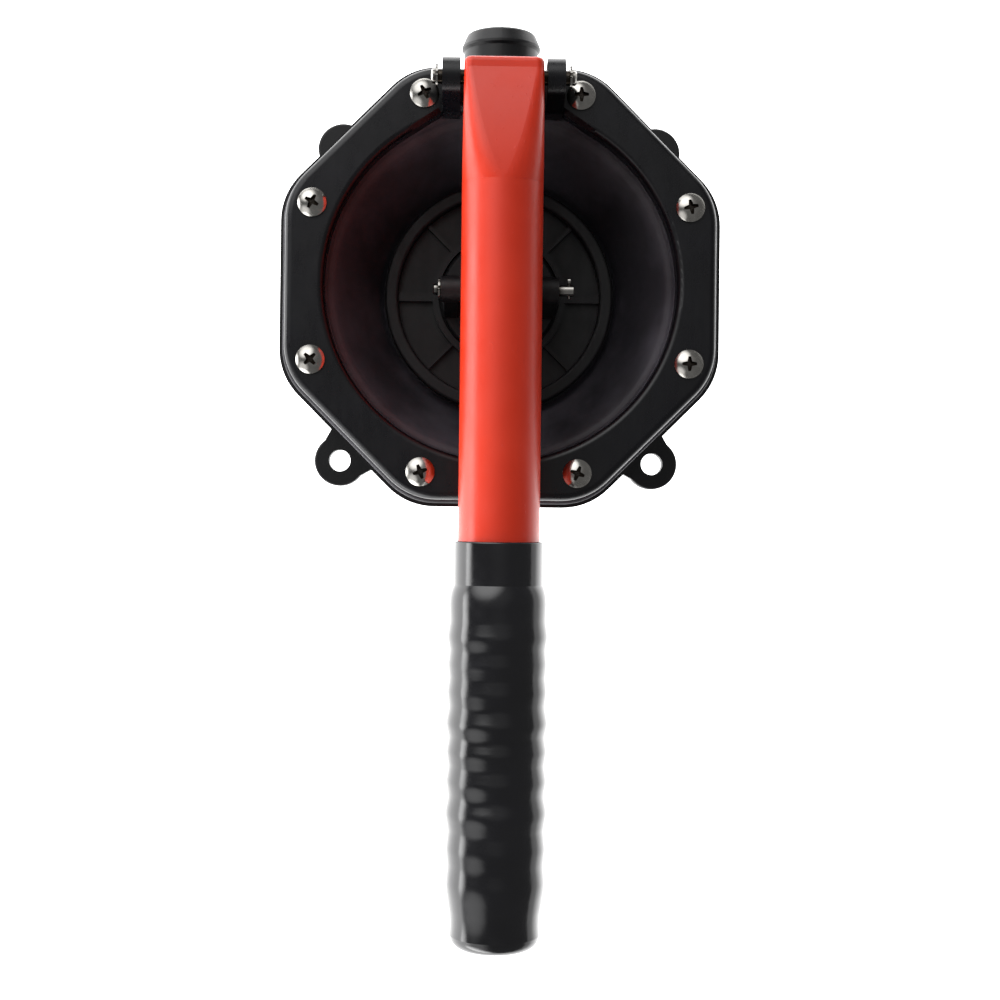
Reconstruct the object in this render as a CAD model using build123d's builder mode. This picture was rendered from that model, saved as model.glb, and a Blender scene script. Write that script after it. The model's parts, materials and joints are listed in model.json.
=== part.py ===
from build123d import *
import math
import os

# Manual diaphragm bilge pump, worked by a lever. Millimetres.
# Frame: +Z runs from the mounting face to the lever, +Y to the outlet, +X to the right.
# The origin is the centre of the four mounting holes, on the flat back.

os.makedirs("parts", exist_ok=True)

# ---- driving dimensions ---------------------------------------------------------------

# clamp ring: an octagon with rounded corners around a round opening
ACROSS_FLATS = 150.0
CORNER_R = 23.0
RING_TOP = 69.0
RING_T = 8.0
OPENING_R = 61.4
EDGE_R = 2.6
OPENING_EDGE_R = 2.2
NOTCH_HALF = 23.3
NOTCH_FLOOR = 71.4
BAY = [(31.0, 50.0), (31.0, 53.0), (20.6, 59.9)]
BAY_CHAMFER = 1.6

# ring screws: M5 pan heads with nuts
SCREW_CIRCLE = 70.9
SCREW_R = 2.5
SCREW_HOLE_R = 2.75
SCREW_LEN = 20.0
HEAD_R = 5.0
HEAD_SIDE = 0.8
HEAD_H = 2.8
RECESS_TURNS = [12, 0, 28, 62, 45, 20, 70, 0]
RECESS_DEPTH = 2.1
RECESS_REACH = 2.6
RECESS_TIP = 0.5
RECESS_ROOT = 0.95
NUT_AF = 8.0
NUT_T = 4.0

# housing: bowl, flange, base, ears
FLANGE_GROW = 2.4
FLANGE_TOP = 59.0
FLANGE_T = 5.0
FLOOR_T = 5.0
WALL = 4.0
BOWL_R_LOW = 48.5
BOWL_R_HIGH = 61.4
BOWL_BEND_LOW = 24.0
BOWL_BEND_HIGH = 48.0
EAR_SPACING = 120.0
EAR_R = 9.7
EAR_HOLE_R = 4.15
EAR_T = 6.0
EAR_EDGE_R = 0.8
GUSSET_T = 2.4
GUSSET_SIDE = 9.5
GUSSET_H = 24.0
GUSSET_REACH = 76.0

# ports: two valve blocks in line, with a hose tail on each
PORT_Z = 21.0
BLOCK_HALF = 20.0
BLOCK_FACE = 66.0
BLOCK_HEIGHT_HALF = 19.0
PORT_R = 12.5
CHAMBER_R = 15.5
INLET_CHAMBER_R = 14.4
INLET_CHAMBER_END = 50.0
GASKET_T = 1.0
TAIL_FLANGE_T = 4.0
TAIL_R = 13.8
TAIL_BORE_R = 11.3
TAIL_LIP_R = 14.7
TAIL_LIP_Y = 94.5
TAIL_END_R = 13.0
TAIL_END_Y = 99.8
TAIL_SCREW_AT = 15.5
TAIL_SCREW_R = 2.0
TAIL_SCREW_HEAD_R = 3.9
TAIL_SCREW_HEAD_H = 2.5
TAIL_SCREW_REACH = 57.0

# flap valves
SEAT_R = 15.4
SEAT_BORE_R = 8.0
SEAT_T = 3.0
OUTLET_SEAT_Y = 57.0
FLAP_R = 9.6
FLAP_T = 1.8
FLAP_GAP = 0.05
FLAP_HINGE_UP = 11.0
FLAP_HINGE_OUT = 2.1
FLAP_BARREL_R = 1.8
FLAP_BARREL_HALF = 3.0
FLAP_PIN_R = 1.0
FLAP_PIN_HALF = 4.9
POST_IN = 3.25
POST_OUT = 4.9
BACKER_R = 6.8
BACKER_T = 1.0
RIVET_R = 1.5
RIVET_HEAD_R = 2.8
RIVET_HEAD_T = 0.9

# lever and its pivot
PIVOT_Y = 67.5
PIVOT_Z = 84.0
LEVER_R = 13.75
LEVER_BORE_R = 10.6
HUB_W = 26.8
HUB_H = 16.0
HUB_EDGE_R = 2.6
HUB_END_Y = 72.8
HUB_LOFT_Y = 69.0
# (Y, width, height, corner radius) of the sections between the flat hub and the round tube
HUB_SECTIONS = [
    (60.0, 26.9, 20.6, 4.2),
    (50.0, 27.1, 24.4, 6.5),
    (41.0, 27.3, 26.6, 9.2),
]
ROUND_Y = 31.0
TUBE_END_Y = -214.0
BORE_START_Y = 20.0
LUG_IN = 14.7
LUG_T = 6.0
LUG_R = 6.4
LUG_FOOT_Y = 58.7
PIVOT_PIN_R = 2.5
PIVOT_PIN_HALF = 24.5
PIVOT_CLIP_X = 22.6
CLIP_T = 0.7
CLIP_R = 4.0
BUSH_R = 4.0
BUSH_LEN = 10.0
FIT = 0.05
STOP_GAP = 0.15
STOP_Y = -66.0

# link pin between the lever's slotted foot and the yoke
LINK_Z = 52.5
LINK_PIN_R = 2.0
LINK_LEFT = -23.8
LINK_RIGHT = 26.5
LINK_CLIP_X = -21.6
COTTER_X = 24.6
COTTER_R = 0.5
COTTER_LEG = 5.6
COTTER_EYE_R = 1.2
FOOT_HALF = 12.9
SLOT_HALF_W = 3.1
SLOT_IN = 65.4
SLOT_OUT = 75.2
EYE_R = 7.0

# diaphragm and the plates that grip its middle
PLATE_Z = 27.0
RUBBER_T = 3.0
PLATE_R = 42.0
PLATE_RIM_IN = 37.0
PLATE_RIM_H = 6.5
PLATE_FLOOR = 2.0
HUB_RING_R = 24.5
HUB_RING_T = 2.3
HUB_RING_H = 6.0
RIB_T = 1.4
RIB_WIDE = 3.2
RIB_H = 4.2
BACKING_R = 40.0
BACKING_T = 4.0
YOKE_BASE_R = 21.6
YOKE_BASE_T = 4.0
YOKE_IN = 14.1
YOKE_OUT = 20.9
YOKE_BOSS_R = 4.6
YOKE_FOOT_HALF = 8.0
BOLT_R = 4.0
BOLT_HEAD_AF = 13.0
BOLT_HEAD_T = 5.3
BOLT_END = 42.0
WASHER_R = 8.0
WASHER_T = 1.6
BOLT_NUT_T = 6.5

# grip: a ribbed vinyl sleeve with a closed end; each rib is (distance from the origin, radius)
GRIP_START = 89.0
COLLAR_END = 103.5
COLLAR_R = 15.1
RIBS = [
    (111.2, 16.5),
    (121.3, 17.0),
    (130.0, 16.8),
    (139.4, 16.9),
    (150.2, 17.2),
    (159.2, 17.0),
    (169.3, 17.0),
    (179.7, 17.2),
    (191.8, 16.9),
    (203.2, 16.8),
]
RIB_VALLEY_R = 16.4
GRIP_TAPER_AT = 209.5
GRIP_TAPER_R = 16.1
GRIP_END_R = 15.4
GRIP_END = 225.1
GRIP_NOSE_R = 4.6

# ---- shared places --------------------------------------------------------------------

RING_BOTTOM = RING_TOP - RING_T
FLANGE_BOTTOM = FLANGE_TOP - FLANGE_T
LEVER_AXIS = Plane(origin=(0, 0, PIVOT_Z), x_dir=(0, -1, 0), z_dir=(1, 0, 0))
FOOT_DROP = PIVOT_Z - LINK_Z
# from the pivot towards the link pin: the slot's direction, with the lever at rest
SLOT_PLANE = Plane(
    origin=(0, PIVOT_Y, PIVOT_Z), x_dir=(0, -PIVOT_Y, -FOOT_DROP), z_dir=(1, 0, 0)
)


def save(builder, label):
    """Label a finished piece and write it to its own file."""
    builder.part.label = label
    export_step(builder.part, "parts/" + label + ".step")


def octagon(across):
    """Rounded octagon with flats facing the X and Y axes, for use inside a sketch."""
    RegularPolygon(across / 2, 8, major_radius=False, rotation=22.5)


# ---- housing --------------------------------------------------------------------------

BOWL_OUT_LOW = BOWL_R_LOW + WALL
BOWL_OUT_HIGH = BOWL_R_HIGH + WALL
EAR_REACH = EAR_SPACING / 2 * math.sqrt(2)

with BuildPart() as housing:
    # outside of the bowl
    with BuildSketch(Plane.XZ):
        with BuildLine():
            Polyline(
                (0, 0),
                (BOWL_OUT_LOW, 0),
                (BOWL_OUT_LOW, BOWL_BEND_LOW - 1),
                (BOWL_OUT_HIGH, BOWL_BEND_HIGH - 1),
                (BOWL_OUT_HIGH, FLANGE_TOP),
                (0, FLANGE_TOP),
                close=True,
            )
        make_face()
    revolve(axis=Axis.Z)
    # octagonal flange
    with BuildSketch(Plane.XY.offset(FLANGE_BOTTOM)) as flange_outline:
        octagon(ACROSS_FLATS + 2 * FLANGE_GROW)
        fillet(flange_outline.vertices(), CORNER_R)
    extrude(amount=FLANGE_T)
    # ears: flat tabs that narrow towards a round end
    with BuildSketch():
        with PolarLocations(0, 4, start_angle=45):
            Polygon(
                (40, -22),
                (40, 22),
                (EAR_REACH - 1, EAR_R - 0.3),
                (EAR_REACH - 1, 0.3 - EAR_R),
                align=None,
            )
        with PolarLocations(EAR_REACH, 4, start_angle=45):
            Circle(EAR_R)
    extrude(amount=EAR_T)
    ear_tops = housing.edges().filter_by(lambda e: abs(e.center().Z - EAR_T) < 0.01)
    fillet(ear_tops.filter_by(GeomType.CIRCLE).filter_by(lambda e: e.radius < EAR_R + 1), EAR_EDGE_R)
    # two upright gussets stiffen each ear
    for quarter in range(4):
        heading = math.radians(45 + 90 * quarter)
        radial = (math.cos(heading), math.sin(heading), 0)
        across = (math.sin(heading), -math.cos(heading), 0)
        for side in (-1, 1):
            middle = side * GUSSET_SIDE
            gusset_plane = Plane(origin=(0, 0, 0), x_dir=radial, z_dir=across).offset(middle)
            with BuildSketch(gusset_plane):
                Polygon(
                    (45, EAR_T - 1),
                    (GUSSET_REACH, EAR_T - 1),
                    (GUSSET_REACH, EAR_T + 2),
                    (BOWL_OUT_LOW + 2, EAR_T + GUSSET_H),
                    (45, EAR_T + GUSSET_H),
                    align=None,
                )
            extrude(amount=GUSSET_T / 2, both=True)
    # valve blocks
    for end in (-1, 1):
        with Locations((0, end * (BLOCK_FACE + 40) / 2, PORT_Z)):
            Box(2 * BLOCK_HALF, BLOCK_FACE - 40, 2 * BLOCK_HEIGHT_HALF)
    upright = housing.edges().filter_by(Axis.Y).filter_by(lambda e: abs(e.center().Y) > 50)
    fillet(upright.filter_by(lambda e: abs(e.center().X) > BLOCK_HALF - 0.1), 4)
    # pumping chamber
    with BuildSketch(Plane.XZ):
        with BuildLine():
            Polyline(
                (0, FLOOR_T),
                (BOWL_R_LOW, FLOOR_T),
                (BOWL_R_LOW, BOWL_BEND_LOW),
                (BOWL_R_HIGH, BOWL_BEND_HIGH),
                (BOWL_R_HIGH, FLANGE_TOP + 1),
                (0, FLANGE_TOP + 1),
                close=True,
            )
        make_face()
    revolve(axis=Axis.Z, mode=Mode.SUBTRACT)
    # port through both blocks
    with BuildSketch(Plane.XZ.offset(-BLOCK_FACE)):
        with Locations((0, PORT_Z)):
            Circle(PORT_R)
    extrude(amount=2 * BLOCK_FACE, mode=Mode.SUBTRACT)
    # outlet valve chamber, open outwards down to its shoulder
    with BuildSketch(Plane.XZ.offset(-BLOCK_FACE)):
        with Locations((0, PORT_Z)):
            Circle(CHAMBER_R)
    extrude(amount=BLOCK_FACE - OUTLET_SEAT_Y, mode=Mode.SUBTRACT)
    # inlet valve chamber, with a counterbore for the seat at its mouth
    with BuildSketch(Plane.XZ.offset(BLOCK_FACE)):
        with Locations((0, PORT_Z)):
            Circle(CHAMBER_R)
    extrude(amount=-SEAT_T, mode=Mode.SUBTRACT)
    with BuildSketch(Plane.XZ.offset(BLOCK_FACE)):
        with Locations((0, PORT_Z)):
            Circle(INLET_CHAMBER_R)
    extrude(amount=INLET_CHAMBER_END - BLOCK_FACE, mode=Mode.SUBTRACT)
    # screw holes: ring, ears, tails
    with BuildSketch(Plane.XY.offset(FLANGE_TOP)):
        with PolarLocations(SCREW_CIRCLE, 8, start_angle=22.5):
            Circle(SCREW_HOLE_R)
    extrude(amount=-FLANGE_T, mode=Mode.SUBTRACT)
    with BuildSketch():
        with GridLocations(EAR_SPACING, EAR_SPACING, 2, 2):
            Circle(EAR_HOLE_R)
    extrude(amount=EAR_T, mode=Mode.SUBTRACT)
    for end in (-1, 1):
        with BuildSketch(Plane.XZ.offset(-end * BLOCK_FACE)):
            with Locations((0, PORT_Z)):
                with GridLocations(2 * TAIL_SCREW_AT, 2 * TAIL_SCREW_AT, 2, 2):
                    Circle(TAIL_SCREW_R + FIT)
        extrude(amount=end * (BLOCK_FACE - TAIL_SCREW_REACH + 1), mode=Mode.SUBTRACT)
    # notch in the flange behind the lever's hub
    with BuildSketch(Plane.XY.offset(FLANGE_BOTTOM)):
        with Locations((0, NOTCH_FLOOR + 10)):
            Rectangle(2 * NOTCH_HALF, 20)
    extrude(amount=FLANGE_T, mode=Mode.SUBTRACT)

save(housing, "body_housing")

# ---- clamp ring with the two pivot lugs -----------------------------------------------

BAY_OUTLINE = BAY + [(-x, y) for x, y in reversed(BAY)]

with BuildPart() as ring:
    with BuildSketch(Plane.XY.offset(RING_BOTTOM)) as ring_outline:
        octagon(ACROSS_FLATS)
        fillet(ring_outline.vertices(), CORNER_R)
    extrude(amount=RING_T)
    fillet(ring.faces().sort_by(Axis.Z)[-1].edges(), EDGE_R)
    with BuildSketch(Plane.XY.offset(RING_BOTTOM)):
        Circle(OPENING_R)
    extrude(amount=RING_T, mode=Mode.SUBTRACT)
    inner_rim = ring.faces().sort_by(Axis.Z)[-1].edges().filter_by(GeomType.CIRCLE)
    fillet(inner_rim.filter_by(lambda e: abs(e.radius - OPENING_R) < 0.01), OPENING_EDGE_R)
    with BuildSketch(Plane.XY.offset(RING_BOTTOM)):
        # straight-sided bay under the lever's hub
        Polygon(*BAY_OUTLINE, align=None)
        with Locations((0, NOTCH_FLOOR + 10)):
            Rectangle(2 * NOTCH_HALF, 20)
    extrude(amount=RING_T, mode=Mode.SUBTRACT)
    # bevel round the bay
    with BuildSketch(Plane.XY.offset(RING_TOP)):
        Polygon(*BAY_OUTLINE, align=None)
        offset(amount=BAY_CHAMFER, kind=Kind.INTERSECTION)
    extrude(amount=-BAY_CHAMFER, taper=45, mode=Mode.SUBTRACT)
    with BuildSketch(Plane.XY.offset(RING_TOP)):
        with PolarLocations(SCREW_CIRCLE, 8, start_angle=22.5):
            Circle(SCREW_HOLE_R)
    extrude(amount=-RING_T, mode=Mode.SUBTRACT)
    # lugs: flat cheeks with a round top about the pivot
    for side in (-1, 1):
        with BuildSketch(Plane.YZ.offset(side * LUG_IN)):
            Polygon(
                (LUG_FOOT_Y, RING_BOTTOM),
                (NOTCH_FLOOR, RING_BOTTOM),
                (PIVOT_Y + LUG_R - 0.05, PIVOT_Z - 4),
                (PIVOT_Y + LUG_R - 0.05, PIVOT_Z + 0.5),
                (PIVOT_Y - LUG_R + 0.05, PIVOT_Z + 0.5),
                (LUG_FOOT_Y, RING_TOP + 2),
                align=None,
            )
            with Locations((PIVOT_Y, PIVOT_Z)):
                Circle(LUG_R)
                Circle(PIVOT_PIN_R + 0.02, mode=Mode.SUBTRACT)
        extrude(amount=side * LUG_T)
    # stop rib that the lever rests on
    with BuildSketch(Plane.XY.offset(RING_TOP)):
        with Locations((0, STOP_Y)):
            RectangleRounded(9, 6, 1.5)
    extrude(amount=PIVOT_Z - LEVER_R - STOP_GAP - RING_TOP)

save(ring, "clamp_ring")

# ---- ring screws and nuts -------------------------------------------------------------

screw_spots = PolarLocations(SCREW_CIRCLE, 8, start_angle=22.5).locations

DOME_H = HEAD_H - HEAD_SIDE
DOME_R = (HEAD_R**2 + DOME_H**2) / (2 * DOME_H)

with BuildPart() as screw:
    # one screw, with the underside of its domed head at z = 0
    with BuildSketch(Plane.XZ):
        with BuildLine():
            Polyline((0, HEAD_H), (0, -SCREW_LEN), (SCREW_R, -SCREW_LEN), (SCREW_R, 0), (HEAD_R, 0))
            Line((HEAD_R, 0), (HEAD_R, HEAD_SIDE))
            ThreePointArc(
                (HEAD_R, HEAD_SIDE),
                (HEAD_R / 2, HEAD_H - DOME_R + math.sqrt(DOME_R**2 - (HEAD_R / 2) ** 2)),
                (0, HEAD_H),
            )
        make_face()
    revolve(axis=Axis.Z)
    # cross recess with flared flanks
    arms = [(RECESS_REACH, RECESS_TIP), (0, RECESS_ROOT), (-RECESS_REACH, RECESS_TIP)]
    arms += [(-x, -y) for x, y in arms]
    with BuildSketch(Plane.XY.offset(HEAD_H)):
        for turn in (0, 90):
            Polygon(*arms, rotation=turn, align=None)
    extrude(amount=-RECESS_DEPTH, taper=8, mode=Mode.SUBTRACT)

with BuildPart() as ring_screws:
    for spot, turn in zip(screw_spots, RECESS_TURNS):
        with Locations(Location((spot.position.X, spot.position.Y, RING_TOP), (0, 0, turn))):
            add(screw.part)

save(ring_screws, "ring_screws")

with BuildPart() as ring_nuts:
    with BuildSketch(Plane.XY.offset(FLANGE_BOTTOM - NUT_T)):
        with PolarLocations(SCREW_CIRCLE, 8, start_angle=22.5):
            RegularPolygon(NUT_AF / 2, 6, major_radius=False)
            Circle(SCREW_R + FIT, mode=Mode.SUBTRACT)
    extrude(amount=NUT_T)

save(ring_nuts, "ring_nuts")

# ---- diaphragm ------------------------------------------------------------------------

with BuildPart() as diaphragm:
    with BuildSketch(Plane.XY.offset(FLANGE_TOP)) as bead_outline:
        octagon(ACROSS_FLATS + FLANGE_GROW)
        fillet(bead_outline.vertices(), CORNER_R)
        Circle(OPENING_R - 2, mode=Mode.SUBTRACT)
        with Locations((0, NOTCH_FLOOR + 10)):
            Rectangle(2 * NOTCH_HALF, 20, mode=Mode.SUBTRACT)
        with PolarLocations(SCREW_CIRCLE, 8, start_angle=22.5):
            Circle(SCREW_R + 0.1, mode=Mode.SUBTRACT)
    extrude(amount=RING_BOTTOM - FLANGE_TOP)
    # flat middle, gripped by the plates, and the conical wall around it
    with BuildSketch(Plane.XZ):
        with BuildLine():
            Polyline(
                (BOLT_R + 0.1, PLATE_Z - RUBBER_T),
                (PLATE_R + 2.0, PLATE_Z - RUBBER_T),
                (PLATE_R + 4.6, PLATE_Z + 0.6),
                (58.4, 52.0),
                (60.8, FLANGE_TOP),
                (60.8, RING_BOTTOM),
                (58.6, RING_BOTTOM),
                (56.0, 53.0),
                (PLATE_R + 2.2, PLATE_Z + 2.0),
                (PLATE_R + 0.4, PLATE_Z),
                (BOLT_R + 0.1, PLATE_Z),
                close=True,
            )
        make_face()
    revolve(axis=Axis.Z)

save(diaphragm, "diaphragm")

# ---- plates on both sides of the diaphragm --------------------------------------------

with BuildPart() as plate:
    with BuildSketch(Plane.XY.offset(PLATE_Z)):
        Circle(PLATE_R)
    extrude(amount=PLATE_FLOOR)
    with BuildSketch(Plane.XY.offset(PLATE_Z)):
        Circle(PLATE_R)
        Circle(PLATE_RIM_IN, mode=Mode.SUBTRACT)
    extrude(amount=PLATE_RIM_H)
    rim_top = plate.faces().sort_by(Axis.Z)[-1]
    fillet(rim_top.edges(), 1.2)
    with BuildSketch(Plane.XY.offset(PLATE_Z)):
        Circle(HUB_RING_R)
        Circle(HUB_RING_R - HUB_RING_T, mode=Mode.SUBTRACT)
    extrude(amount=HUB_RING_H)
    # eight ribs: the two along X are the wide ones
    rib_mid = (HUB_RING_R + PLATE_RIM_IN) / 2
    rib_len = PLATE_RIM_IN - HUB_RING_R + 1
    with BuildSketch(Plane.XY.offset(PLATE_Z)):
        with PolarLocations(rib_mid, 8):
            Rectangle(rib_len, RIB_T)
        with PolarLocations(rib_mid, 2):
            Rectangle(rib_len, RIB_WIDE)
    extrude(amount=RIB_H)
    with BuildSketch(Plane.XY.offset(PLATE_Z)):
        Circle(BOLT_R + 0.1)
    extrude(amount=PLATE_FLOOR, mode=Mode.SUBTRACT)

save(plate, "diaphragm_plate")

BACKING_TOP = PLATE_Z - RUBBER_T
BACKING_BOTTOM = BACKING_TOP - BACKING_T

with BuildPart() as backing:
    with BuildSketch(Plane.XY.offset(BACKING_BOTTOM)):
        Circle(BACKING_R)
        Circle(BOLT_R + 0.1, mode=Mode.SUBTRACT)
    extrude(amount=BACKING_T)
    outer = backing.edges().filter_by(GeomType.CIRCLE).filter_by(lambda e: e.radius > BACKING_R - 1)
    fillet(outer, 1.5)

save(backing, "backing_plate")

# ---- yoke, bolted to the plates -------------------------------------------------------

YOKE_Z = PLATE_Z + PLATE_FLOOR
YOKE_MID = (YOKE_IN + YOKE_OUT) / 2

with BuildPart() as yoke:
    with BuildSketch(Plane.XY.offset(YOKE_Z)):
        Circle(YOKE_BASE_R)
    extrude(amount=YOKE_BASE_T)
    chamfer(yoke.edges().sort_by(Axis.Z)[-1], 0.8)
    for side in (-1, 1):
        with BuildSketch(Plane.YZ.offset(side * YOKE_MID)):
            Polygon(
                (-YOKE_FOOT_HALF, YOKE_Z + YOKE_BASE_T - 1),
                (YOKE_FOOT_HALF, YOKE_Z + YOKE_BASE_T - 1),
                (YOKE_BOSS_R, LINK_Z),
                (-YOKE_BOSS_R, LINK_Z),
                align=None,
            )
        extrude(amount=2.4, both=True)
        with BuildSketch(Plane.YZ.offset(side * YOKE_MID)):
            with Locations((0, LINK_Z)):
                Circle(YOKE_BOSS_R)
        extrude(amount=(YOKE_OUT - YOKE_IN) / 2, both=True)
    with BuildSketch(Plane.YZ):
        with Locations((0, LINK_Z)):
            Circle(LINK_PIN_R + 0.02)
    extrude(amount=YOKE_OUT, both=True, mode=Mode.SUBTRACT)
    with BuildSketch(Plane.XY.offset(YOKE_Z)):
        Circle(BOLT_R + 0.1)
    extrude(amount=YOKE_BASE_T, mode=Mode.SUBTRACT)

save(yoke, "yoke")

WASHER_Z = YOKE_Z + YOKE_BASE_T

with BuildPart() as plate_bolt:
    with BuildSketch(Plane.XY.offset(BACKING_BOTTOM - BOLT_HEAD_T)):
        RegularPolygon(BOLT_HEAD_AF / 2, 6, major_radius=False)
    extrude(amount=BOLT_HEAD_T)
    with BuildSketch(Plane.XY.offset(BACKING_BOTTOM)):
        Circle(BOLT_R)
    extrude(amount=BOLT_END - BACKING_BOTTOM)
    chamfer(plate_bolt.faces().sort_by(Axis.Z)[-1].edges(), 0.7)

save(plate_bolt, "plate_bolt")

with BuildPart() as plate_washer:
    with BuildSketch(Plane.XY.offset(WASHER_Z)):
        Circle(WASHER_R)
        Circle(BOLT_R + 0.1, mode=Mode.SUBTRACT)
    extrude(amount=WASHER_T)

save(plate_washer, "plate_washer")

with BuildPart() as plate_nut:
    with BuildSketch(Plane.XY.offset(WASHER_Z + WASHER_T)):
        RegularPolygon(BOLT_HEAD_AF / 2, 6, major_radius=False)
        Circle(BOLT_R + FIT, mode=Mode.SUBTRACT)
    extrude(amount=BOLT_NUT_T - 1.5)

save(plate_nut, "plate_nut")

# ---- link pin and its retainers -------------------------------------------------------

with BuildPart() as link_pin:
    with BuildSketch(Plane.YZ.offset(LINK_LEFT)):
        with Locations((0, LINK_Z)):
            Circle(LINK_PIN_R)
    extrude(amount=LINK_RIGHT - LINK_LEFT)
    chamfer(link_pin.edges().filter_by(GeomType.CIRCLE), 0.4)
    # groove for the clip
    with BuildSketch(Plane.YZ.offset(LINK_CLIP_X - CLIP_T / 2 - 0.05)):
        with Locations((0, LINK_Z)):
            Circle(LINK_PIN_R)
            Circle(LINK_PIN_R - 0.4, mode=Mode.SUBTRACT)
    extrude(amount=CLIP_T + 0.1, mode=Mode.SUBTRACT)
    # cross hole for the split pin
    with BuildSketch(Plane.XZ):
        with Locations((COTTER_X, LINK_Z)):
            Circle(COTTER_R + 0.03)
    extrude(amount=LINK_PIN_R + 1, both=True, mode=Mode.SUBTRACT)

save(link_pin, "link_pin")


def clip_profile(groove_r):
    """Open ring that snaps into a groove, for use inside a sketch."""
    Circle(CLIP_R)
    Circle(groove_r + 0.03, mode=Mode.SUBTRACT)
    with Locations((0, -CLIP_R)):
        Rectangle(2 * groove_r - 0.4, 2 * CLIP_R, mode=Mode.SUBTRACT)
    with PolarLocations(CLIP_R, 2, start_angle=35, angular_range=110):
        Circle(0.8, mode=Mode.SUBTRACT)


with BuildPart() as link_clip:
    clip_place = Plane(origin=(LINK_CLIP_X, 0, LINK_Z), x_dir=(0, 1, 0), z_dir=(1, 0, 0))
    with BuildSketch(clip_place):
        clip_profile(LINK_PIN_R - 0.4)
    extrude(amount=CLIP_T / 2, both=True)

save(link_clip, "link_clip")

with BuildPart() as link_split_pin:
    # a straight doubled leg, with a round eye at one end
    eye_y = LINK_PIN_R + COTTER_EYE_R + 0.2
    with BuildSketch(Plane.XZ.offset(-eye_y + COTTER_EYE_R - COTTER_R)):
        with Locations((COTTER_X, LINK_Z)):
            Circle(COTTER_R)
    extrude(amount=COTTER_LEG)
    with BuildSketch(Plane(origin=(COTTER_X, eye_y, LINK_Z), x_dir=(0, 1, 0), z_dir=(1, 0, 0))):
        Circle(COTTER_EYE_R)
        Circle(COTTER_EYE_R - 0.6, mode=Mode.SUBTRACT)
    extrude(amount=COTTER_R - 0.05, both=True)

save(link_split_pin, "link_split_pin")

# ---- lever ----------------------------------------------------------------------------

with BuildPart() as lever:
    # flat hub with eased edges
    with BuildSketch(Plane.XZ.offset(-HUB_END_Y)):
        with Locations((0, PIVOT_Z)):
            RectangleRounded(HUB_W, HUB_H, HUB_EDGE_R)
    extrude(amount=HUB_END_Y - HUB_LOFT_Y)
    fillet(lever.faces().sort_by(Axis.Y)[-1].edges(), 1.8)
    # the hub's flat faces run out into the round tube as long pointed facets
    with BuildSketch(Plane.XZ.offset(-HUB_LOFT_Y)):
        with Locations((0, PIVOT_Z)):
            RectangleRounded(HUB_W, HUB_H, HUB_EDGE_R)
    for section_y, width, height, corner_r in HUB_SECTIONS:
        with BuildSketch(Plane.XZ.offset(-section_y)):
            with Locations((0, PIVOT_Z)):
                RectangleRounded(width, height, corner_r)
    with BuildSketch(Plane.XZ.offset(-ROUND_Y)):
        with Locations((0, PIVOT_Z)):
            RectangleRounded(2 * LEVER_R, 2 * LEVER_R, LEVER_R - 0.15)
    loft()
    with BuildSketch(Plane.XZ.offset(-ROUND_Y)):
        with Locations((0, PIVOT_Z)):
            Circle(LEVER_R)
    extrude(amount=ROUND_Y - TUBE_END_Y)
    with BuildSketch(Plane.XZ.offset(-BORE_START_Y)):
        with Locations((0, PIVOT_Z)):
            Circle(LEVER_BORE_R)
    extrude(amount=BORE_START_Y - TUBE_END_Y, mode=Mode.SUBTRACT)
    # foot below the tube, ending in the slotted eye
    with BuildSketch(SLOT_PLANE):
        with Locations(((SLOT_IN + SLOT_OUT) / 2, 0)):
            SlotCenterToCenter(SLOT_OUT - SLOT_IN, 2 * EYE_R)
    extrude(amount=FOOT_HALF, both=True)
    with BuildSketch(Plane.YZ):
        Polygon(
            (24, PIVOT_Z - LEVER_R + 2.5),
            (-13, PIVOT_Z - LEVER_R + 2.5),
            (-8.2, LINK_Z),
            (6, LINK_Z - 1.0),
            (14, LINK_Z + 5.5),
            align=None,
        )
    extrude(amount=FOOT_HALF, both=True)
    with BuildSketch(SLOT_PLANE):
        with Locations(((SLOT_IN + SLOT_OUT) / 2, 0)):
            SlotCenterToCenter(SLOT_OUT - SLOT_IN, 2 * SLOT_HALF_W)
    extrude(amount=FOOT_HALF + 1, both=True, mode=Mode.SUBTRACT)
    # pivot bore
    with BuildSketch(Plane.YZ):
        with Locations((PIVOT_Y, PIVOT_Z)):
            Circle(BUSH_R + 0.01)
    extrude(amount=HUB_W, both=True, mode=Mode.SUBTRACT)

save(lever, "lever_arm")

with BuildPart() as pivot_bushes:
    for side in (-1, 1):
        with BuildSketch(Plane.YZ.offset(side * (HUB_W / 2 - BUSH_LEN))):
            with Locations((PIVOT_Y, PIVOT_Z)):
                Circle(BUSH_R)
                Circle(PIVOT_PIN_R + FIT, mode=Mode.SUBTRACT)
        extrude(amount=side * BUSH_LEN)

save(pivot_bushes, "pivot_bushes")

with BuildPart() as pivot_pin:
    with BuildSketch(Plane.YZ.offset(-PIVOT_PIN_HALF)):
        with Locations((PIVOT_Y, PIVOT_Z)):
            Circle(PIVOT_PIN_R)
    extrude(amount=2 * PIVOT_PIN_HALF)
    chamfer(pivot_pin.edges().filter_by(GeomType.CIRCLE), 0.5)
    for side in (-1, 1):
        with BuildSketch(Plane.YZ.offset(side * PIVOT_CLIP_X - CLIP_T / 2 - 0.05)):
            with Locations((PIVOT_Y, PIVOT_Z)):
                Circle(PIVOT_PIN_R)
                Circle(PIVOT_PIN_R - 0.5, mode=Mode.SUBTRACT)
        extrude(amount=CLIP_T + 0.1, mode=Mode.SUBTRACT)

save(pivot_pin, "pivot_pin")

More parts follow.
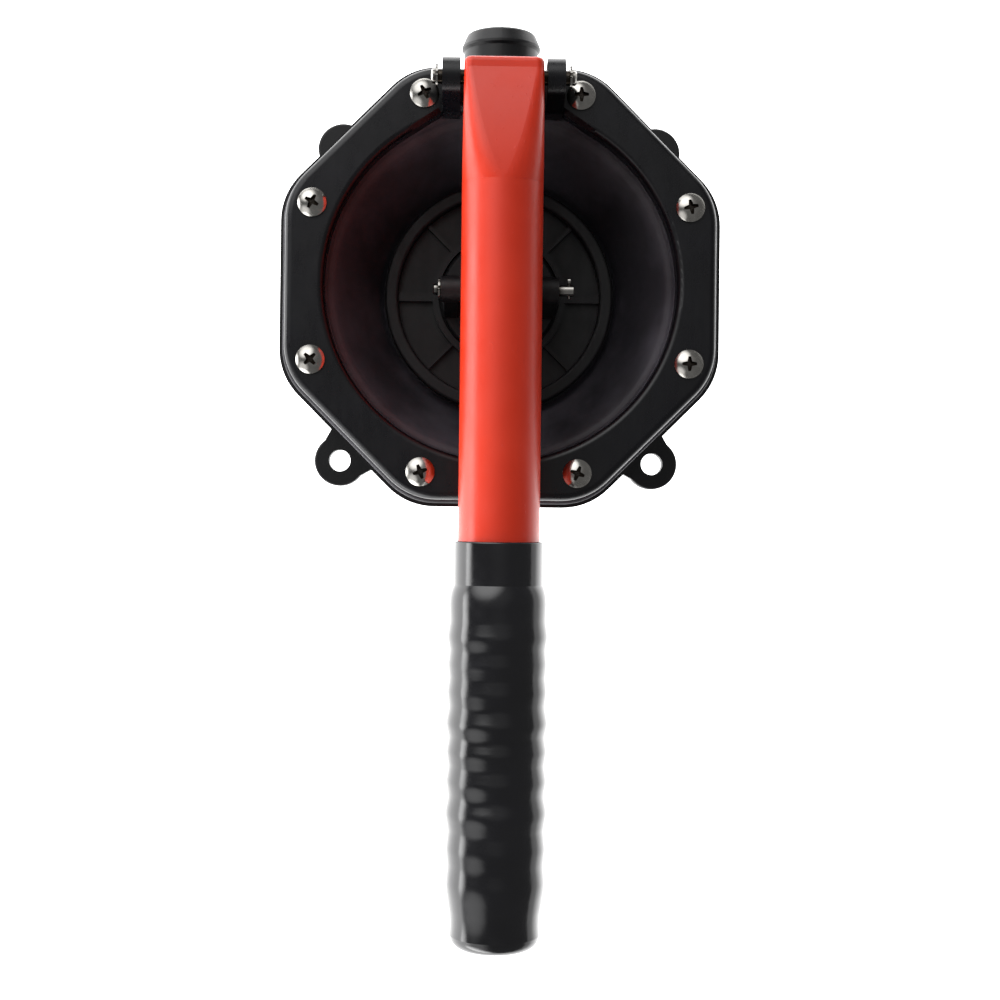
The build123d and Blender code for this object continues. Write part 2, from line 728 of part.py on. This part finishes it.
with BuildPart() as pivot_clips:
    for side in (-1, 1):
        clip_place = Plane(
            origin=(side * PIVOT_CLIP_X, PIVOT_Y, PIVOT_Z), x_dir=(0, 1, 0), z_dir=(1, 0, 0)
        )
        with BuildSketch(clip_place):
            clip_profile(PIVOT_PIN_R - 0.5)
        extrude(amount=CLIP_T / 2, both=True)

save(pivot_clips, "pivot_clips")

# ---- grip -----------------------------------------------------------------------------

waves = [RIBS[0]]
for (last_at, _), (rib_at, rib_r) in zip(RIBS, RIBS[1:]):
    waves.append(((last_at + rib_at) / 2, RIB_VALLEY_R))
    waves.append((rib_at, rib_r))

with BuildPart() as grip:
    with BuildSketch(LEVER_AXIS):
        with BuildLine():
            Polyline(
                (GRIP_START, LEVER_R + 0.02),
                (GRIP_START, COLLAR_R),
                (COLLAR_END, COLLAR_R),
            )
            Spline(
                (COLLAR_END, COLLAR_R),
                *waves,
                (GRIP_TAPER_AT, GRIP_TAPER_R),
                (GRIP_END - GRIP_NOSE_R, GRIP_END_R),
            )
            Polyline(
                (GRIP_END - GRIP_NOSE_R, GRIP_END_R),
                (GRIP_END, GRIP_END_R - 1.0),
                (GRIP_END, 0),
                (-TUBE_END_Y + 0.1, 0),
                (-TUBE_END_Y + 0.1, LEVER_R + 0.02),
                (GRIP_START, LEVER_R + 0.02),
            )
        make_face()
    revolve(axis=Axis((0, 0, PIVOT_Z), (0, -1, 0)))
    nose = grip.edges().filter_by(GeomType.CIRCLE).sort_by(Axis.Y)
    fillet(nose.filter_by(lambda e: e.center().Y < -GRIP_END + 0.1), GRIP_NOSE_R - 0.2)
    mouth = nose.filter_by(lambda e: e.center().Y > -GRIP_START - 0.1 and e.radius > LEVER_R + 0.5)
    fillet(mouth, 0.6)

save(grip, "grip")

# ---- hose tails, gaskets and screws, one set at each end ------------------------------

for end, port in ((1, "outlet"), (-1, "inlet")):
    # this plane looks outwards along the port, from the valve block's face
    face = Plane(origin=(0, end * BLOCK_FACE, PORT_Z), x_dir=(end, 0, 0), z_dir=(0, end, 0))
    flange_plane = face.offset(GASKET_T)
    with BuildPart() as gasket:
        with BuildSketch(face):
            RectangleRounded(2 * BLOCK_HALF, 2 * BLOCK_HEIGHT_HALF, 4)
            Circle(CHAMBER_R + 0.2, mode=Mode.SUBTRACT)
            with GridLocations(2 * TAIL_SCREW_AT, 2 * TAIL_SCREW_AT, 2, 2):
                Circle(TAIL_SCREW_R + 0.2, mode=Mode.SUBTRACT)
        extrude(amount=GASKET_T)
    save(gasket, port + "_gasket")

    with BuildPart() as tail:
        with BuildSketch(flange_plane):
            RectangleRounded(2 * BLOCK_HALF, 2 * BLOCK_HEIGHT_HALF, 4)
        extrude(amount=TAIL_FLANGE_T)
        pipe_side = Plane(
            origin=(0, 0, PORT_Z), x_dir=(0, end, 0), z_dir=(1, 0, 0)
        )
        with BuildSketch(pipe_side):
            with BuildLine():
                Polyline(
                    (BLOCK_FACE + GASKET_T + 1, 0),
                    (BLOCK_FACE + GASKET_T + 1, TAIL_R),
                    (TAIL_LIP_Y - 1.2, TAIL_R),
                    (TAIL_LIP_Y - 0.3, TAIL_LIP_R),
                    (TAIL_LIP_Y + 0.6, TAIL_LIP_R),
                    (TAIL_END_Y - 0.6, TAIL_END_R),
                    (TAIL_END_Y, TAIL_END_R - 0.6),
                    (TAIL_END_Y, 0),
                    close=True,
                )
            make_face()
        revolve(axis=Axis((0, 0, PORT_Z), (0, 1, 0)))
        with BuildSketch(flange_plane):
            Circle(TAIL_BORE_R)
        extrude(amount=TAIL_END_Y - BLOCK_FACE, mode=Mode.SUBTRACT)
        with BuildSketch(flange_plane):
            with GridLocations(2 * TAIL_SCREW_AT, 2 * TAIL_SCREW_AT, 2, 2):
                Circle(TAIL_SCREW_R + 0.2)
        extrude(amount=TAIL_FLANGE_T, mode=Mode.SUBTRACT)
    save(tail, port + "_tail")

    head_plane = flange_plane.offset(TAIL_FLANGE_T)
    with BuildPart() as tail_screws:
        with BuildSketch(head_plane):
            with GridLocations(2 * TAIL_SCREW_AT, 2 * TAIL_SCREW_AT, 2, 2):
                Circle(TAIL_SCREW_HEAD_R)
        extrude(amount=TAIL_SCREW_HEAD_H)
        heads = tail_screws.faces().filter_by(lambda f: abs(f.center().Y) > BLOCK_FACE + 7)
        fillet(heads.edges(), 1.4)
        with BuildSketch(head_plane):
            with GridLocations(2 * TAIL_SCREW_AT, 2 * TAIL_SCREW_AT, 2, 2):
                Circle(TAIL_SCREW_R)
        extrude(amount=TAIL_SCREW_REACH - BLOCK_FACE - GASKET_T - TAIL_FLANGE_T)
        with BuildSketch(head_plane.offset(TAIL_SCREW_HEAD_H)):
            with GridLocations(2 * TAIL_SCREW_AT, 2 * TAIL_SCREW_AT, 2, 2):
                Rectangle(4, 0.9)
                Rectangle(0.9, 4)
        extrude(amount=-1.3, mode=Mode.SUBTRACT)
    save(tail_screws, port + "_tail_screws")

# ---- flap valves ----------------------------------------------------------------------
# Water runs towards +Y through both valves, so both flaps lie on their seat's +Y side.

for seat_y, port in ((OUTLET_SEAT_Y, "outlet"), (-BLOCK_FACE, "inlet")):
    seat_face = seat_y + SEAT_T
    hinge_y = seat_face + FLAP_HINGE_OUT
    hinge_z = PORT_Z + FLAP_HINGE_UP
    # this plane looks downstream from the seat's sealing face
    downstream = Plane(origin=(0, seat_face, PORT_Z), x_dir=(1, 0, 0), z_dir=(0, 1, 0))
    hinge_side = Plane(origin=(0, hinge_y, hinge_z), x_dir=(0, 1, 0), z_dir=(1, 0, 0))

    with BuildPart() as seat:
        with BuildSketch(downstream):
            Circle(SEAT_R)
            Circle(SEAT_BORE_R, mode=Mode.SUBTRACT)
        extrude(amount=-SEAT_T)
        # two posts carry the hinge pin
        for side in (-1, 1):
            with BuildSketch(hinge_side.offset(side * POST_IN)):
                Rectangle(2 * FLAP_HINGE_OUT + 0.4, 2 * FLAP_BARREL_R)
                Circle(FLAP_PIN_R + 0.02, mode=Mode.SUBTRACT)
            extrude(amount=side * (POST_OUT - POST_IN))
    save(seat, port + "_valve_seat")

    with BuildPart() as flap_pin:
        with BuildSketch(hinge_side):
            Circle(FLAP_PIN_R)
        extrude(amount=FLAP_PIN_HALF, both=True)
    save(flap_pin, port + "_flap_pin")

    with BuildPart() as flap:
        with BuildSketch(downstream.offset(FLAP_GAP)):
            Circle(FLAP_R)
            with Locations((0, -FLAP_HINGE_UP / 2 - 2)):
                Rectangle(2 * FLAP_BARREL_HALF, FLAP_HINGE_UP - 4)
        extrude(amount=FLAP_T)
        with BuildSketch(hinge_side):
            Circle(FLAP_BARREL_R)
        extrude(amount=FLAP_BARREL_HALF, both=True)
        with BuildSketch(hinge_side):
            Circle(FLAP_PIN_R + FIT)
        extrude(amount=FLAP_BARREL_HALF, both=True, mode=Mode.SUBTRACT)
        with BuildSketch(downstream):
            Circle(RIVET_R + 0.02)
        extrude(amount=FLAP_T + 1, mode=Mode.SUBTRACT)
    save(flap, port + "_flap")

    with BuildPart() as backer:
        with BuildSketch(downstream.offset(FLAP_GAP + FLAP_T)):
            Circle(BACKER_R)
            Circle(RIVET_R + 0.02, mode=Mode.SUBTRACT)
        extrude(amount=BACKER_T)
    save(backer, port + "_flap_weight")

    with BuildPart() as rivet:
        stack = FLAP_GAP + FLAP_T + BACKER_T
        with BuildSketch(downstream.offset(FLAP_GAP)):
            Circle(RIVET_HEAD_R)
        extrude(amount=-RIVET_HEAD_T)
        with BuildSketch(downstream.offset(FLAP_GAP)):
            Circle(RIVET_R)
        extrude(amount=FLAP_T + BACKER_T)
        with BuildSketch(downstream.offset(stack)):
            Circle(RIVET_HEAD_R)
        extrude(amount=RIVET_HEAD_T)
    save(rivet, port + "_flap_rivet")
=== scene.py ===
import bpy
import json
import math
from mathutils import Matrix, Vector, noise


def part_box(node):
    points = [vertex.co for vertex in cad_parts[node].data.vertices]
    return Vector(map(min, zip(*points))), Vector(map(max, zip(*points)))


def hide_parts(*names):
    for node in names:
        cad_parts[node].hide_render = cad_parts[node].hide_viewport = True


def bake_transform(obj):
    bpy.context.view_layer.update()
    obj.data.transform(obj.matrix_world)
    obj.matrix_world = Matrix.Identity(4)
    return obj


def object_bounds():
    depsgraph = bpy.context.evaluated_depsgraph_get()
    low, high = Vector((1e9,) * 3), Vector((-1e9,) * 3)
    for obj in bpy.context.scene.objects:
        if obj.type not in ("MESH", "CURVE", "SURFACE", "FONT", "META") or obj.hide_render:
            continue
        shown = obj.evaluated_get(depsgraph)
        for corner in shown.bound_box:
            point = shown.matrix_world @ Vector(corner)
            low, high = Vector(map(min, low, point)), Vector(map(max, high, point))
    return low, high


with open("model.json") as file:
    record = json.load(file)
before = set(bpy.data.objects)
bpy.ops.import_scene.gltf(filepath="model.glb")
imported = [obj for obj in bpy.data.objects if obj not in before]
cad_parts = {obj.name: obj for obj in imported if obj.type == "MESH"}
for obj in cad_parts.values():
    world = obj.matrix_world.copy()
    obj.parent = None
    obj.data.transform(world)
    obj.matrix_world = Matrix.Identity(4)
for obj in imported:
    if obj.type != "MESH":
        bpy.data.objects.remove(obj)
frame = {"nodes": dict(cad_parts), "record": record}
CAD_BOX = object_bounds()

# Manual bilge pump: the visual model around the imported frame. Metres, the frame's own axes.

MM = 0.001
WHITE = (1, 1, 1, 1)
scene = bpy.context.scene
nodes = frame["nodes"]
SLOT_OF = {s["node"]: s["material_slot"] for s in frame["record"]["subparts"]}


# ---- materials ------------------------------------------------------------------------

SHELTER_SAMPLES = 8


class Shader:
    """A node material under construction, with short calls for the nodes used here."""

    def __init__(self, name):
        self.material = bpy.data.materials.new(name)
        self.material.use_nodes = True
        self.tree = self.material.node_tree
        self.surface = self.tree.nodes["Principled BSDF"]
        self.place = self.tree.nodes.new("ShaderNodeTexCoord").outputs["Object"]

    def set(self, **values):
        """Sets inputs of the surface: underscores in a name stand for spaces."""
        for key, value in values.items():
            self.surface.inputs[key.replace("_", " ")].default_value = value

    def link(self, output, key):
        self.tree.links.new(output, self.surface.inputs[key])

    def noise(self, scale, detail=3.0, roughness=0.55, stretch=(1, 1, 1)):
        """Noise of scale cells a metre, finer along the larger numbers of stretch."""
        mapping = self.tree.nodes.new("ShaderNodeMapping")
        mapping.inputs["Scale"].default_value = stretch
        self.tree.links.new(self.place, mapping.inputs["Vector"])
        node = self.tree.nodes.new("ShaderNodeTexNoise")
        node.inputs["Scale"].default_value = scale
        node.inputs["Detail"].default_value = detail
        node.inputs["Roughness"].default_value = roughness
        self.tree.links.new(mapping.outputs["Vector"], node.inputs["Vector"])
        return node.outputs["Fac"]

    def spread(self, value, low, high, at=(0.3, 0.7)):
        """value, a noise from at[0] to at[1], becomes a number from low to high."""
        node = self.tree.nodes.new("ShaderNodeMapRange")
        for key, number in (("From Min", at[0]), ("From Max", at[1]), ("To Min", low), ("To Max", high)):
            node.inputs[key].default_value = number
        self.tree.links.new(value, node.inputs["Value"])
        return node.outputs["Result"]

    def colours(self, value, *stops):
        """Colour ramp over value: stops are (position, (r, g, b))."""
        node = self.tree.nodes.new("ShaderNodeValToRGB")
        ramp = node.color_ramp
        while len(ramp.elements) < len(stops):
            ramp.elements.new(0.5)
        for element, (position, colour) in zip(ramp.elements, stops):
            element.position = position
            element.color = (*colour, 1)
        self.tree.links.new(value, node.inputs["Fac"])
        return node.outputs["Color"]

    def paint_recess_shade(self, clean, shade_tone, reach):
        """Paints shade: turns clean into a dark colour where the surface is hemmed in by others within
        reach (metres).
        """
        # painted shade: ambient occlusion darkens the colour in recesses and crevices
        shelter = self.tree.nodes.new("ShaderNodeAmbientOcclusion")
        shelter.samples = SHELTER_SAMPLES
        shelter.inputs["Distance"].default_value = reach
        openness = self.spread(shelter.outputs["AO"], 0.0, 1.0, at=(0.55, 0.95))
        mix = self.tree.nodes.new("ShaderNodeMix")
        mix.data_type = "RGBA"
        factor, shade_socket, clean_colour = mix.inputs[0], mix.inputs[6], mix.inputs[7]
        shade_socket.default_value = (*shade_tone, 1)
        self.tree.links.new(openness, factor)
        self.tree.links.new(clean, clean_colour)
        return mix.outputs[2]

    def bump(self, *layers):
        """Stacks bump layers: each is (value, height in metres)."""
        normal = None
        for value, height in layers:
            node = self.tree.nodes.new("ShaderNodeBump")
            node.inputs["Strength"].default_value = 1.0
            node.inputs["Distance"].default_value = height
            self.tree.links.new(value, node.inputs["Height"])
            if normal is not None:
                self.tree.links.new(normal, node.inputs["Normal"])
            normal = node.outputs["Normal"]
        self.link(normal, "Normal")


def moulded(name, dark, light, rough):
    """Injection-moulded plastic: fine spark-eroded grain, faint flow waves, handling marks."""
    shader = Shader(name)
    shader.link(shader.colours(shader.noise(45.0, 4.0), (0.35, dark), (0.7, light)), "Base Color")
    marks = shader.noise(160.0, 6.0, 0.7, stretch=(1.0, 0.35, 1.0))
    shader.link(shader.spread(marks, rough[0], rough[1], at=(0.35, 0.68)), "Roughness")
    shader.bump((shader.noise(1800.0, 2.0), 0.02 * MM), (shader.noise(28.0, 2.0), 0.12 * MM))
    shader.set(IOR=1.5, Specular_IOR_Level=0.33)
    return shader.material


def lever_red(name):
    """Smooth red coating with orange-peel waves and a few raised dust specks."""
    shader = Shader(name)
    cloud = shader.noise(22.0, 3.0)
    tint = shader.colours(cloud, (0.3, (0.60, 0.026, 0.005)), (0.72, (0.68, 0.034, 0.008)))
    shader.link(tint, "Base Color")
    shader.link(shader.spread(shader.noise(90.0, 5.0, 0.65), 0.30, 0.42), "Roughness")
    specks = shader.spread(shader.noise(900.0, 0.0), 0.0, 1.0, at=(0.77, 0.82))
    shader.bump(
        (shader.noise(520.0, 2.0), 0.01 * MM),
        (shader.noise(60.0, 1.0), 0.06 * MM),
        (specks, 0.04 * MM),
    )
    shader.set(IOR=1.5)
    return shader.material


def dipped_vinyl(name):
    """Glossy dipped vinyl: soft waves, small runs and a few dull rubbed areas."""
    shader = Shader(name)
    cloud = shader.noise(30.0, 3.0)
    tint = shader.colours(cloud, (0.3, (0.002, 0.002, 0.003)), (0.75, (0.005, 0.005, 0.007)))
    shader.link(tint, "Base Color")
    shader.link(shader.spread(shader.noise(120.0, 6.0, 0.7), 0.12, 0.24), "Roughness")
    shader.bump(
        (shader.noise(900.0, 2.0), 0.012 * MM),
        (shader.noise(110.0, 2.0), 0.06 * MM),
        (shader.noise(35.0, 1.0, stretch=(1.0, 0.5, 1.0)), 0.12 * MM),
    )
    shader.set(IOR=1.52, Coat_Weight=0.25, Coat_Roughness=0.12)
    return shader.material


def rubber(name, dark=(0.019, 0.018, 0.023), light=(0.044, 0.041, 0.051), rough=(0.42, 0.60)):
    """Moulded rubber with cloudy talc marks and a soft, slightly wavy skin."""
    shader = Shader(name)
    cloud = shader.noise(30.0, 4.0, 0.55)
    shader.link(shader.colours(cloud, (0.40, dark), (0.60, light)), "Base Color")
    shader.link(shader.spread(shader.noise(55.0, 6.0, 0.65), rough[0], rough[1]), "Roughness")
    shader.bump((shader.noise(1500.0, 3.0), 0.015 * MM), (shader.noise(70.0, 2.0), 0.12 * MM))
    shader.set(IOR=1.5)
    return shader.material


def stainless(name):
    """Satin stainless steel: warm grey, fine scratches, faint smears, and painted shade darkening the
    recesses.
    """
    shader = Shader(name)
    metal = shader.colours(shader.noise(260.0, 4.0), (0.3, (0.31, 0.30, 0.28)), (0.7, (0.43, 0.415, 0.39)))
    # painted shade: the screw recesses are darkened to near black
    shader.link(shader.paint_recess_shade(metal, (0.020, 0.015, 0.011), 3 * MM), "Base Color")
    shader.link(shader.spread(shader.noise(420.0, 5.0, 0.7, stretch=(1, 0.15, 1)), 0.11, 0.24), "Roughness")
    shader.bump((shader.noise(2600.0, 3.0, stretch=(1.0, 0.12, 1.0)), 0.006 * MM))
    shader.set(Metallic=1.0)
    return shader.material


def natural_nylon(name):
    """Dull cream nylon."""
    shader = Shader(name)
    tint = shader.colours(shader.noise(200.0, 3.0), (0.3, (0.62, 0.59, 0.50)), (0.7, (0.74, 0.71, 0.62)))
    shader.link(tint, "Base Color")
    shader.link(shader.spread(shader.noise(300.0, 4.0), 0.35, 0.5), "Roughness")
    shader.bump((shader.noise(1800.0, 2.0), 0.01 * MM))
    return shader.material


# Moulded plastics by slot: dark colour, light colour, roughness from and to.
MOULDED = {
    "housing_plastic": ((0.004, 0.004, 0.005), (0.008, 0.008, 0.009), (0.38, 0.54)),
    "ring_plastic": ((0.002, 0.002, 0.003), (0.004, 0.004, 0.006), (0.24, 0.38)),
    "tail_plastic": ((0.004, 0.004, 0.005), (0.008, 0.008, 0.009), (0.34, 0.48)),
    "plate_plastic": ((0.004, 0.004, 0.005), (0.009, 0.009, 0.010), (0.42, 0.60)),
    "seat_plastic": ((0.014, 0.014, 0.015), (0.022, 0.022, 0.023), (0.38, 0.55)),
}

FINISH = {
    **{slot: moulded(slot, *look) for slot, look in MOULDED.items()},
    "lever_red": lever_red("lever_red"),
    "grip_vinyl": dipped_vinyl("grip_vinyl"),
    "diaphragm_rubber": rubber("diaphragm_rubber"),
    "seal_rubber": rubber("seal_rubber", light=(0.024, 0.023, 0.025), rough=(0.5, 0.7)),
    "stainless": stainless("stainless"),
    "bush_nylon": natural_nylon("bush_nylon"),
}

for node_name, node in nodes.items():
    node.data.materials.clear()
    node.data.materials.append(FINISH[SLOT_OF[node_name]])


# ---- diaphragm ------------------------------------------------------------------------
# The frame's diaphragm is a plain cone. This one has the rolled groove at the clamp, soft
# lumps, and the same octagonal bead between ring and flange.

DIAPHRAGM_STEPS = 360
OPENING_R = 61.4 * MM
RING_CORNER_R = 23.0 * MM
NOTCH_HALF = 23.3 * MM
NOTCH_FLOOR = 71.4 * MM
RUBBER_T = 2.0 * MM
HOLE_R = 5.0 * MM
LUMP = 0.9 * MM
LUMP_SPREAD = 2.1
FINE_LUMP = 0.4
FINE_LUMP_SPREAD = 3.1


def octagon_radius(angle, apothem, corner):
    """Distance from the centre to a rounded octagon's edge, in the direction angle."""
    octant = (angle + math.pi / 8) % (math.pi / 4) - math.pi / 8
    flat_end = math.atan2((apothem - corner) * math.tan(math.pi / 8), apothem)
    if abs(octant) <= flat_end:
        return apothem / math.cos(octant)
    centre = (apothem - corner) / math.cos(math.pi / 8)
    off = math.pi / 8 - abs(octant)
    return centre * math.cos(off) + math.sqrt(corner ** 2 - (centre * math.sin(off)) ** 2)


def clamped_edge(angle, apothem):
    """The same for the clamped edge: the octagon, cut straight at the bay for the pivot lugs."""
    edge = octagon_radius(angle, apothem, RING_CORNER_R)
    if math.sin(angle) > 0 and abs(math.cos(angle)) * edge < NOTCH_HALF:
        edge = min(edge, NOTCH_FLOOR / math.sin(angle))
    return edge


def make_diaphragm():
    """Skin of rubber turned about Z, gripped at the clamp and carried by the plate."""
    outer_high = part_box("diaphragm")[1]
    plate_low, plate_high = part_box("diaphragm_plate")
    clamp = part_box("clamp_ring")[0].z
    seat = plate_low.z
    plate_r = plate_high.x
    apothem = outer_high.x
    flange = clamp - RUBBER_T + 0.02 * MM
    top = [  # (radius, height) from the plate's edge out to the clamp
        (HOLE_R, seat),
        (plate_r - 8 * MM, seat),
        (plate_r + 0.3 * MM, seat + 0.05 * MM),
        (plate_r + 1.2 * MM, seat + 0.7 * MM),
        (plate_r + 2.3 * MM, seat + 2.4 * MM),
        (plate_r + 4.4 * MM, seat + 6.6 * MM),
        (plate_r + 7.0 * MM, seat + 12.2 * MM),
        (plate_r + 9.8 * MM, seat + 18.2 * MM),
        (plate_r + 12.4 * MM, seat + 23.6 * MM),
        (plate_r + 14.6 * MM, seat + 27.6 * MM),
        (OPENING_R - 3.4 * MM, clamp - 4.2 * MM),
        (OPENING_R - 2.2 * MM, clamp - 3.0 * MM),
        (OPENING_R - 1.2 * MM, clamp - 2.6 * MM),
        (OPENING_R - 0.4 * MM, clamp - 1.6 * MM),
        (OPENING_R + 0.4 * MM, clamp - 0.1 * MM),
        (OPENING_R + 1.4 * MM, clamp - 0.02 * MM),
    ]
    rim = [  # (share of the octagon's radius, height) round the clamped edge
        (0.985, clamp - 0.02 * MM),
        (0.997, clamp - 0.25 * MM),
        (1.0, clamp - 0.7 * MM),
        (1.0, clamp - 1.4 * MM),
        (0.997, clamp - 1.8 * MM),
        (0.985, flange),
    ]
    under = [  # (radius, height) back in along the underside
        (OPENING_R + 1.0 * MM, flange),
        (OPENING_R - 0.7 * MM, clamp - 3.2 * MM),
        (OPENING_R - 1.4 * MM, clamp - 4.8 * MM),
        (plate_r + 16.2 * MM, seat + 24.6 * MM),
        (plate_r + 12.2 * MM, seat + 16.6 * MM),
        (plate_r + 8.2 * MM, seat + 8.4 * MM),
        (plate_r + 4.6 * MM, seat + 1.0 * MM),
        (plate_r + 2.6 * MM, seat - 2.2 * MM),
        (plate_r + 1.0 * MM, seat - 2.9 * MM),
        (HOLE_R, seat - 2.9 * MM),
    ]
    rows = len(top) + len(rim) + len(under)
    verts, faces = [], []
    for step in range(DIAPHRAGM_STEPS):
        angle = 2 * math.pi * step / DIAPHRAGM_STEPS
        cos, sin = math.cos(angle), math.sin(angle)
        edge = clamped_edge(angle, apothem)
        wave = Vector((cos, sin, 0.0)) * LUMP_SPREAD
        lump = (noise.noise(wave) + FINE_LUMP * noise.noise(wave * FINE_LUMP_SPREAD)) * LUMP

        def lumped(profile):
            # lumps swell the free wall and fade out where it is gripped
            placed = []
            for radius, height in profile:
                share = min(1.0, max(0.0, (height - seat) / (clamp - seat)))
                push = lump * math.sin(math.pi * share) if radius > plate_r else 0.0
                placed.append((radius + push * 0.4, height + push))
            return placed

        loop = lumped(top) + [(edge * share, height) for share, height in rim] + lumped(under)
        verts += [(radius * cos, radius * sin, height) for radius, height in loop]
    for step in range(DIAPHRAGM_STEPS):
        here, there = step * rows, (step + 1) % DIAPHRAGM_STEPS * rows
        for row in range(rows):
            after = (row + 1) % rows
            faces.append((here + row, there + row, there + after, here + after))
    mesh = bpy.data.meshes.new("diaphragm_skin")
    mesh.from_pydata(verts, [], faces)
    mesh.update()
    mesh.materials.append(FINISH["diaphragm_rubber"])
    for polygon in mesh.polygons:
        polygon.use_smooth = True
    piece = bpy.data.objects.new("diaphragm_skin", mesh)
    scene.collection.objects.link(piece)
    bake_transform(piece)
    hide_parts("diaphragm")


make_diaphragm()


# ---- floor, lights, camera ------------------------------------------------------------

FLOOR_HALF = 4.0
FLOOR_DROP = 0.3 * MM
FLOOR_GLOW = 2.6
FLOOR_GLOW_RIGHT = 0.5
FLOOR_FADE_X = (0.12, 0.30)


def make_floor():
    """Back-lit white table, bright under the pump and to its left, dimmer to its right."""
    mesh = bpy.data.meshes.new("floor")
    z = CAD_BOX[0][2] - FLOOR_DROP
    corners = [(FLOOR_HALF * x, FLOOR_HALF * y, z) for x, y in ((-1, -1), (1, -1), (1, 1), (-1, 1))]
    mesh.from_pydata(corners, [], [(0, 1, 2, 3)])
    floor = bpy.data.objects.new("floor", mesh)
    scene.collection.objects.link(floor)
    shader = Shader("floor_paper")
    split = shader.tree.nodes.new("ShaderNodeSeparateXYZ")
    shader.tree.links.new(shader.place, split.inputs[0])
    strength = shader.spread(split.outputs["X"], FLOOR_GLOW, FLOOR_GLOW_RIGHT, at=FLOOR_FADE_X)
    shader.link(strength, "Emission Strength")
    shader.set(Base_Color=(0.8, 0.8, 0.8, 1), Roughness=0.9, Emission_Color=WHITE, Specular_IOR_Level=0.1)
    mesh.materials.append(shader.material)


# Soft lights around the pump: direction (x, y, z), full out to and gone beyond (degrees), radiance.
GLOWS = [
    ((-0.42, 0.70, 0.58), 10, 42, 2.9),
    ((0.0, 0.45, 0.89), 5, 40, 0.18),
    ((-0.98, 0.0, -0.20), 14, 32, 8.0),
    ((-0.50, -0.85, -0.15), 14, 36, 9.0),
    ((-0.66, -0.58, 0.48), 5, 32, 1.3),
]
AMBIENT = 0.21


def make_world():
    """Dark studio: a large light at the upper left, low ones on the left, weak ones overhead."""
    world = bpy.data.worlds.new("studio")
    scene.world = world
    world.use_nodes = True
    tree = world.node_tree
    heading = tree.nodes.new("ShaderNodeTexCoord").outputs["Generated"]
    total = None
    for axis, inner, outer, radiance in GLOWS:
        dot = tree.nodes.new("ShaderNodeVectorMath")
        dot.operation = "DOT_PRODUCT"
        dot.inputs[1].default_value = Vector(axis).normalized()
        tree.links.new(heading, dot.inputs[0])
        glow = tree.nodes.new("ShaderNodeMapRange")
        glow.interpolation_type = "SMOOTHSTEP"
        glow.inputs["From Min"].default_value = math.cos(math.radians(outer))
        glow.inputs["From Max"].default_value = math.cos(math.radians(inner))
        glow.inputs["To Max"].default_value = radiance
        tree.links.new(dot.outputs["Value"], glow.inputs["Value"])
        add = tree.nodes.new("ShaderNodeMath")
        add.operation = "ADD"
        add.inputs[0].default_value = AMBIENT
        if total is not None:
            tree.links.new(total, add.inputs[0])
        tree.links.new(glow.outputs["Result"], add.inputs[1])
        total = add.outputs[0]
    tree.links.new(total, tree.nodes["Background"].inputs["Strength"])
    tree.nodes["Background"].inputs["Color"].default_value = WHITE


CAMERA_PLACE = Vector((-0.0099, -0.0794, 0.6288))
CAMERA_TURN = (1.071, 0.456, 0.654)  # degrees: yaw, pitch, roll
FOCAL_LENGTH = 58.3
SENSOR_WIDTH = 36.0
CLIP_START = 0.01


def make_camera():
    """Almost straight down, from 0.63 m above the mounting face."""
    yaw, pitch, roll = (math.radians(v) for v in CAMERA_TURN)
    ahead = Vector((math.sin(yaw) * math.cos(pitch), math.sin(pitch), -math.cos(yaw) * math.cos(pitch)))
    upward = Vector((-math.sin(roll), math.cos(roll), 0))
    right = ahead.cross(upward).normalized()
    upward = right.cross(ahead)
    data = bpy.data.cameras.new("camera")
    data.sensor_width = SENSOR_WIDTH
    data.lens = FOCAL_LENGTH
    data.clip_start = CLIP_START
    camera = bpy.data.objects.new("camera", data)
    scene.collection.objects.link(camera)
    turn = Matrix((right, upward, -ahead)).transposed()
    camera.matrix_world = Matrix.Translation(CAMERA_PLACE) @ turn.to_4x4()
    scene.camera = camera


make_floor()
make_world()
make_camera()
scene.view_settings.view_transform = "Standard"
scene.view_settings.look = "None"
